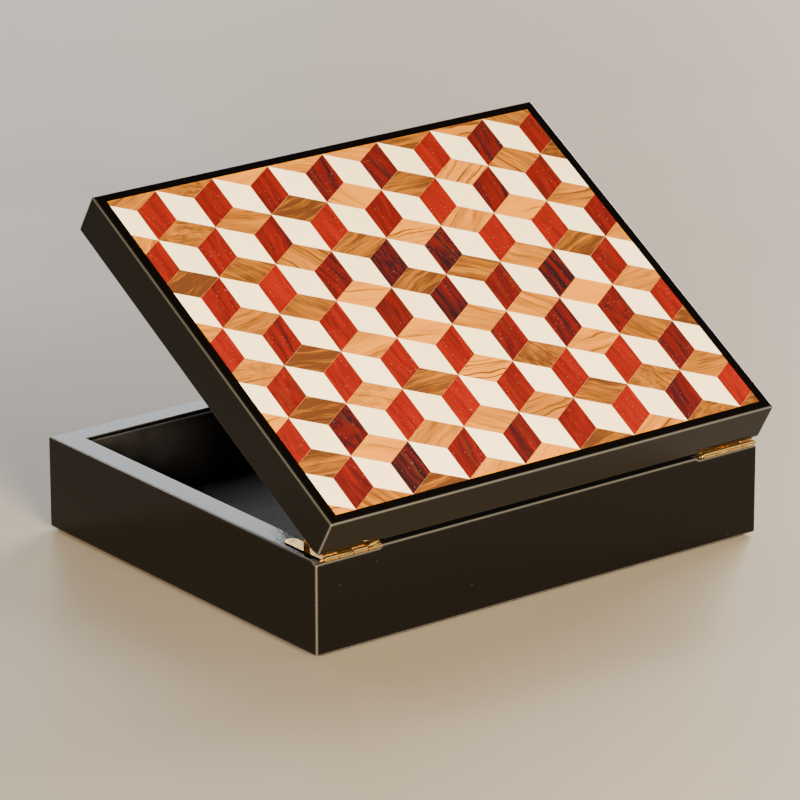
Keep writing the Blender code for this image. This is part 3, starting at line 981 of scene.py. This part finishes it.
class KEEPSAKE_OT_marquetry(bpy.types.Operator):
    """Lay the tumbling blocks of honey wood, red wood and bone into the lid"""

    bl_idname = "keepsake.marquetry"
    bl_label = "Marquetry"

    def execute(self, context):
        sizes = context.scene.keepsake_sizes
        low, high = shut_extent(["lid_marquetry"])
        half = (high.x + FIT - TOUCH, high.y + FIT - TOUCH)
        row = (half[1] + TOUCH) * 2 / sizes.block_rows
        thickness = high.z - low.z
        pitch = sizes.block_pitch
        kinds = {
            "honey": (lying_block(sizes), Vector((-pitch / 2, 0))),
            "bone": (standing_block(sizes, row, -1), Vector((-pitch / 4, row / 2))),
            "red": (standing_block(sizes, row, 1), Vector((pitch / 4, row / 2))),
        }
        for tile, _ in kinds.values():
            thicken(tile, sizes, thickness)
        board = random.Random(BOARD_SEED)
        layers = {kind: [] for kind in kinds}
        for j in range(-1, sizes.block_rows + 1):
            start = sizes.block_start - (pitch / 2 if j % 2 else 0)
            for i in range(-2, 10):
                corner = Vector((start - i * pitch, -half[1] - TOUCH + j * row))
                for kind, (tile, offset) in kinds.items():
                    middle = corner + offset
                    copy_of = duplicate(tile, f"{kind}_{j}_{i}")
                    tone, figure, angle = deal(board, kind)
                    spot = Vector(board.uniform(-GRAIN_SPREAD, GRAIN_SPREAD) for _ in range(2))
                    if abs(middle.x) > half[0] + pitch / 2 or abs(middle.y) > half[1] + row / 2:
                        bpy.data.objects.remove(copy_of)
                        continue
                    stamp_grain(copy_of, angle, spot, tone, figure)
                    copy_of.location = (middle.x, middle.y, high.z)
                    layers[kind].append(copy_of)
        for kind, tiles in layers.items():
            select_only(*tiles)
            bpy.ops.object.join()
            layer = named(f"{kind}_blocks")
            trim(layer, half)
            settle(layer, opened())
            finish(layer, material_of(context, kind), "lid")
            bpy.data.objects.remove(kinds[kind][0])
        glue = block("glue_bed", (-half[0], -half[1], low.z), (half[0], half[1], high.z - BED_DROP))
        settle(glue, opened())
        finish(glue, material_of(context, "glue"), "lid", ["lid_marquetry"])
        return {"FINISHED"}


def deal(board, kind):
    """A block's tone, figure and grain direction, as veneers come from mixed boards."""
    if kind == "honey":
        tone = board.choice((0.04, 0.20, 0.34, 0.48, 0.70, 1.0)) + board.uniform(-0.08, 0.08)
        angle = board.choice((0, 0, math.radians(30), math.radians(-30), math.radians(60)))
        return tone, board.random(), angle + board.uniform(-0.2, 0.2)
    if kind == "red":
        tone = board.choice((0.16, 0.30, 0.42, 0.52, 0.64, 0.80)) + board.uniform(-0.08, 0.08)
        return tone, board.random(), math.pi / 2 + board.uniform(-0.15, 0.15)
    return board.random(), board.random(), math.pi / 2 + board.uniform(-0.4, 0.4)


# ---------------------------------------------------------------------- brass


def knuckle_ends(leaf, index):
    """Where a knuckle begins and ends along X, with the outermost counted first."""
    low, high = leaf
    pitch = (high.x - low.x) / KNUCKLES
    return high.x - (index + 1) * pitch + HALF_KNUCKLE_GAP, high.x - index * pitch - HALF_KNUCKLE_GAP


def facing_down(face):
    return face.normal.z < -0.9


def screw_hole(place):
    """A cutter for a countersunk hole, with its top a little above a place."""
    middle = place + Vector((0, 0, HOLE_RIM / 2 - HOLE_DROP))
    bpy.ops.mesh.primitive_cylinder_add(vertices=32, radius=HOLE_RADIUS, depth=HOLE_RIM, location=middle)
    hole = named("hole")
    edit(hole)
    pick(hole, "FACE", facing_down)
    push((0, 0, -HOLE_SLOPE))
    bpy.ops.transform.resize(value=(HEAD_TAPER, HEAD_TAPER, 1), center_override=place)
    push((0, 0, -HOLE_SHANK))
    leave_edit()
    return hole


def leaf_blank(sizes, leaf, face):
    """A flat leaf on the right of the tray, with its holes and the stay's slot."""
    low, high = leaf
    plate = leaf_plate("leaf_blank", sizes, leaf, low.z, face)
    for number in (1, 2, 3):
        screw_low, screw_high = extent([f"base_hinge_screw_right_{number}"])
        middle = (screw_low + screw_high) / 2
        boolean(plate, screw_hole(Vector((middle.x, middle.y, face))))
    inner, outer = stay_shape("quadrant_stay_right")[:2]
    stay_low, stay_high = extent(["quadrant_stay_right"])
    slot = block(
        "slot",
        (stay_low.x - FIT, AXIS.y - outer + sizes.stay_lug - FIT, low.z - 0.001),
        (stay_high.x + FIT, AXIS.y - inner - sizes.stay_lug + FIT, face + 0.001),
    )
    return boolean(plate, slot)


class KEEPSAKE_OT_hinges(bpy.types.Operator):
    """Model both hinges: two leaves with their knuckles, and the pin between them"""

    bl_idname = "keepsake.hinges"
    bl_label = "Hinges"

    def execute(self, context):
        sizes = context.scene.keepsake_sizes
        leaf = extent(["base_hinge_leaf_right"])
        low, high = leaf
        face = low.z + sizes.leaf_thickness
        blank = leaf_blank(sizes, leaf, face)
        brass = material_of(context, "brass")
        for body, first in (("base", 0), ("lid", 1)):
            if body == "base":
                plate = duplicate(blank, "base_leaf_right")
                level = (low.z, face)
            else:
                plate = mirrored(blank, "lid_leaf_right", "Z", AXIS.z)
                level = (2 * AXIS.z - face, 2 * AXIS.z - low.z)
            for index in (first, first + 2):
                inner, outer = knuckle_ends(leaf, index)
                start = plate_end(leaf) - TONGUE_LAP
                tongue = block("tongue", (inner, start, level[0]), (outer, AXIS.y, level[1]))
                boolean(plate, tongue, "UNION")
                boolean(plate, rod("knuckle", high.z - AXIS.z, inner, outer), "UNION")
            break_edges(plate, width=0.00009)
            smooth(plate)
            left = mirrored(plate, f"{body}_leaf_left", "X")
            for side, made in (("right", plate), ("left", left)):
                made.name = made.data.name = f"brass_{body}_leaf_{side}"
                smooth(made)
                if body == "lid":
                    settle(made, opened())
                finish(made, brass, body, [f"{body}_hinge_leaf_{side}"])
        bpy.data.objects.remove(blank)
        for side in SIDES:
            node = f"hinge_pin_{side}"
            pin_low, pin_high = extent([node])
            pin = rod(f"brass_pin_{side}", (pin_high.z - pin_low.z) / 2, pin_low.x, pin_high.x, 32)
            ends = (pin_low.x, pin_high.x)
            round_edges(pin, lambda edge: any(at(edge, 0, x) for x in ends), radius=0.00025, segments=3)
            smooth(pin, angle=60)
            finish(pin, brass, "base", [node])
        return {"FINISHED"}


class KEEPSAKE_OT_screws(bpy.types.Operator):
    """Model one slotted screw, and drive a copy into each hole of the leaves"""

    bl_idname = "keepsake.screws"
    bl_label = "Hinge screws"

    def execute(self, context):
        sizes = context.scene.keepsake_sizes
        low, high = extent(["base_hinge_screw_right_1"])
        radius = (high.y - low.y) / 2
        bpy.ops.mesh.primitive_cylinder_add(
            vertices=40, radius=radius, depth=HEAD_RIM, location=(0, 0, -HEAD_RIM / 2)
        )
        pattern = named("screw")
        edit(pattern)
        pick(pattern, "FACE", facing_down)
        push((0, 0, -HEAD_SLOPE))
        bpy.ops.transform.resize(value=(HEAD_TAPER, HEAD_TAPER, 1), center_override=(0, 0, 0))
        push((0, 0, low.z - high.z + HEAD_RIM + HEAD_SLOPE + POINT_LENGTH))
        push((0, 0, -POINT_LENGTH))
        bpy.ops.transform.resize(value=(POINT_TAPER, POINT_TAPER, 1), center_override=(0, 0, 0))
        leave_edit()
        width = sizes.screw_slot / 2
        slot = block("slot", (-radius * 2, -width, -SLOT_DEPTH), (radius * 2, width, 0.001))
        boolean(pattern, slot)
        break_edges(pattern, width=0.00005)
        smooth(pattern)
        brass = material_of(context, "brass")
        driver = random.Random(DRIVER_SEED)
        for body, side, number in itertools.product(("base", "lid"), SIDES, (1, 2, 3)):
            node = f"{body}_hinge_screw_{side}_{number}"
            low, high = extent([node]) if body == "base" else shut_extent([node])
            top = high.z if body == "base" else low.z
            screw = duplicate(pattern, f"brass_screw_{body}_{side}_{number}")
            screw.rotation_euler = (0 if body == "base" else math.pi, 0, driver.uniform(0, math.pi))
            screw.location = ((low.x + high.x) / 2, (low.y + high.y) / 2, top)
            settle(screw)
            if body == "lid":
                settle(screw, opened())
            finish(screw, brass, body, [node])
        bpy.data.objects.remove(pattern)
        return {"FINISHED"}


class KEEPSAKE_OT_stays(bpy.types.Operator):
    """Bend a brass quadrant stay for each hinge, with a lug at each end"""

    bl_idname = "keepsake.stays"
    bl_label = "Quadrant stays"

    def execute(self, context):
        sizes = context.scene.keepsake_sizes
        for side in SIDES:
            node = f"quadrant_stay_{side}"
            inner, outer, start, end = stay_shape(node)
            low, high = extent([node])
            lug = sizes.stay_lug
            stay = arc(f"brass_stay_{side}", low.x, high.x, inner + lug, outer - lug, start, end)
            for a, b in ((start, start + LUG_ANGLE), (end - LUG_ANGLE, end)):
                boolean(stay, arc("lug", low.x, high.x, inner, outer, a, b, steps=2), "UNION")
            break_edges(stay, width=0.0001)
            smooth(stay)
            finish(stay, material_of(context, "brass"), f"stay_{side}", [node])
        return {"FINISHED"}


# ---------------------------------------------------------------------- linings


def padded_board(name, low, high, facing, crown):
    """Card wrapped in velvet: a thin board with soft edges that swells a little on one side."""
    board = block(name, low, high)
    axis = max(range(3), key=lambda i: abs(facing[i]))
    flat = [i for i in range(3) if i != axis]
    top = (high if facing[axis] > 0 else low)[axis]
    soft = min(SOFT_EDGE, (high[axis] - low[axis]) * 0.45)

    def front(face):
        return face.normal.dot(facing) > 0.9

    def border(edge):
        return at(edge, axis, top) and any(at(edge, i, low[i]) or at(edge, i, high[i]) for i in flat)

    edit(board)
    pick(board, "FACE", front)
    bpy.ops.mesh.inset(thickness=soft)
    leave_edit()
    round_edges(board, border, soft * 0.9, 4)
    edit(board)
    pick(board, "FACE", front)
    bpy.ops.mesh.subdivide(number_cuts=40)
    leave_edit()
    for vertex in board.data.vertices:
        if abs(vertex.co[axis] - top) > 0.0001:
            continue
        reach = 1.0
        for i in flat:
            middle, half = (low[i] + high[i]) / 2, (high[i] - low[i]) / 2
            edge = half - abs(vertex.co[i] - middle)
            reach *= 1 - math.exp(-max(edge - soft, 0) / SWELL_REACH)
        ripple = noise.noise(vertex.co * RIPPLE_SCALE) * RIPPLE
        vertex.co += facing * crown * reach * (1 + ripple)
    smooth(board, angle=60)
    return board


class KEEPSAKE_OT_tray_lining(bpy.types.Operator):
    """Line the tray: four padded boards round a padded floor"""

    bl_idname = "keepsake.tray_lining"
    bl_label = "Tray lining"

    def execute(self, context):
        crown = context.scene.keepsake_sizes.lining_crown
        velvet = material_of(context, "velvet")
        facing = {
            "left": Vector((1, 0, 0)),
            "right": Vector((-1, 0, 0)),
            "front": Vector((0, 1, 0)),
            "rear": Vector((0, -1, 0)),
        }
        for place, way in facing.items():
            node = f"base_lining_{place}"
            low, high = extent([node])
            board = padded_board(f"velvet_wall_{place}", low, high, way, crown)
            finish(board, velvet, "base", [node])
        low, high = extent(["base_floor_pad"])
        pad = padded_board("velvet_floor", low, high, Vector((0, 0, 1)), crown * 2)
        finish(pad, velvet, "base", ["base_floor_pad"])
        return {"FINISHED"}


class KEEPSAKE_OT_lid_lining(bpy.types.Operator):
    """Line the inside of the lid with a padded board"""

    bl_idname = "keepsake.lid_lining"
    bl_label = "Lid lining"

    def execute(self, context):
        low, high = shut_extent(["lid_lining"])
        crown = context.scene.keepsake_sizes.lining_crown
        pad = padded_board("velvet_lid", low, high, Vector((0, 0, -1)), crown * 2)
        settle(pad, opened())
        finish(pad, material_of(context, "velvet"), "lid", ["lid_lining"])
        return {"FINISHED"}


class KEEPSAKE_OT_underside(bpy.types.Operator):
    """Lay a felt sheet under the box"""

    bl_idname = "keepsake.underside"
    bl_label = "Felt underside"

    def execute(self, context):
        low, high = extent(["base_underside_felt"])
        felt = block("felt_sheet", low, high)
        round_edges(felt, upright, radius=0.003, segments=6)
        round_edges(felt, lambda edge: at(edge, 2, low.z), radius=0.0003, segments=2)
        smooth(felt)
        finish(felt, material_of(context, "felt"), "base", ["base_underside_felt"])
        return {"FINISHED"}


class KEEPSAKE_OT_panels(bpy.types.Operator):
    """Give the two hidden panels their plain wood"""

    bl_idname = "keepsake.panels"
    bl_label = "Hidden panels"

    def execute(self, context):
        for node in ("base_bottom_panel", "lid_panel"):
            mesh = frame["nodes"][node].data
            mesh.materials.clear()
            mesh.materials.append(material_of(context, "plain_wood"))
        return {"FINISHED"}


# ---------------------------------------------------------------------- stage


def area_light(name, place, target, size, power, tint):
    bpy.ops.object.light_add(type="AREA", location=place)
    light = bpy.context.active_object
    light.name = light.data.name = name
    light.data.shape = "RECTANGLE"
    light.data.size, light.data.size_y = size
    light.data.energy = power
    light.data.color = tint
    light.rotation_euler = (Vector(target) - Vector(place)).to_track_quat("-Z", "Y").to_euler()


class KEEPSAKE_OT_stage(bpy.types.Operator):
    """Set the box on a plain pale floor, with soft studio light and a camera"""

    bl_idname = "keepsake.stage"
    bl_label = "Floor, light and camera"

    def execute(self, context):
        bpy.ops.mesh.primitive_plane_add(size=FLOOR_WIDTH)
        floor = named("floor")
        floor.data.materials.append(material_of(context, "floor"))

        world = bpy.data.worlds.new("studio")
        world.use_nodes = True
        background = world.node_tree.nodes["Background"].inputs
        background["Color"].default_value = (1.0, 0.95, 0.88, 1)
        background["Strength"].default_value = 0.03
        context.scene.world = world
        area_light("window", (-0.745, -1.824, 0.72), (0.1, 0, 0.05), (0.85, 0.8), 9.5, (0.95, 0.98, 1.0))
        area_light("sky", (-1.87, -0.72, 0.86), (0, 0, 0.05), (1.2, 0.7), 75, (1.0, 0.94, 0.86))
        area_light("edge", (0.15, -1.50, 1.30), (0, 0, 0.05), (0.6, 0.3), 9, (0.95, 0.98, 1.0))
        area_light("side", (-1.16, 0.97, 1.16), (0, 0, 0.05), (1.2, 1.0), 5, (1.0, 0.95, 0.86))
        area_light("key", (0.50, 1.92, 0.31), (0, 0, 0.08), (0.9, 0.42), 305, (1.0, 0.79, 0.48))

        self.add_camera(context)
        return {"FINISHED"}

    def add_camera(self, context):
        azimuth, elevation, roll, distance = math.radians(52.477), math.radians(19.204), -0.00226, 2.3457
        level = math.cos(elevation)
        back = Vector((level * math.cos(azimuth), level * math.sin(azimuth), math.sin(elevation)))
        aim = Vector((0.00098, 0, 0.06153))
        right = Vector((0, 0, 1)).cross(back).normalized()
        up = back.cross(right)
        turned_right = right * math.cos(roll) + up * math.sin(roll)
        turned_up = up * math.cos(roll) - right * math.sin(roll)
        bpy.ops.object.camera_add()
        camera = context.active_object
        camera.name = camera.data.name = "camera"
        place = Matrix((turned_right, turned_up, back)).transposed().to_4x4()
        place.translation = aim + back * distance
        camera.matrix_world = place
        camera.data.sensor_width = 36
        camera.data.lens = 242.3
        camera.data.clip_start = 0.05
        context.scene.camera = camera


# ---------------------------------------------------------------------- panel and running


OPERATORS = (
    KEEPSAKE_OT_tray,
    KEEPSAKE_OT_lid,
    KEEPSAKE_OT_marquetry,
    KEEPSAKE_OT_hinges,
    KEEPSAKE_OT_screws,
    KEEPSAKE_OT_stays,
    KEEPSAKE_OT_tray_lining,
    KEEPSAKE_OT_lid_lining,
    KEEPSAKE_OT_underside,
    KEEPSAKE_OT_panels,
    KEEPSAKE_OT_stage,
)


class KEEPSAKE_PT_finish(bpy.types.Panel):
    """Lists the box's pieces, sizes and colours"""

    bl_label = "Keepsake Box"
    bl_space_type = "VIEW_3D"
    bl_region_type = "UI"
    bl_category = "Keepsake Box"

    def draw(self, context):
        layout = self.layout
        for operator in OPERATORS:
            layout.operator(operator.bl_idname)
        for group in (context.scene.keepsake_sizes, context.scene.keepsake_colours):
            box = layout.box()
            for name in group.bl_rna.properties.keys():
                if name not in ("rna_type", "name"):
                    box.prop(group, name)


CLASSES = (KeepsakeSizes, KeepsakeColours, *OPERATORS, KEEPSAKE_PT_finish)


def register():
    for cls in CLASSES:
        bpy.utils.register_class(cls)
    bpy.types.Scene.keepsake_sizes = bpy.props.PointerProperty(type=KeepsakeSizes)
    bpy.types.Scene.keepsake_colours = bpy.props.PointerProperty(type=KeepsakeColours)


def unregister():
    del bpy.types.Scene.keepsake_colours
    del bpy.types.Scene.keepsake_sizes
    for cls in reversed(CLASSES):
        bpy.utils.unregister_class(cls)


def main():
    register()
    for operator in OPERATORS:
        getattr(bpy.ops.keepsake, operator.bl_idname.split(".")[1])()


if __name__ == "__main__":
    main()
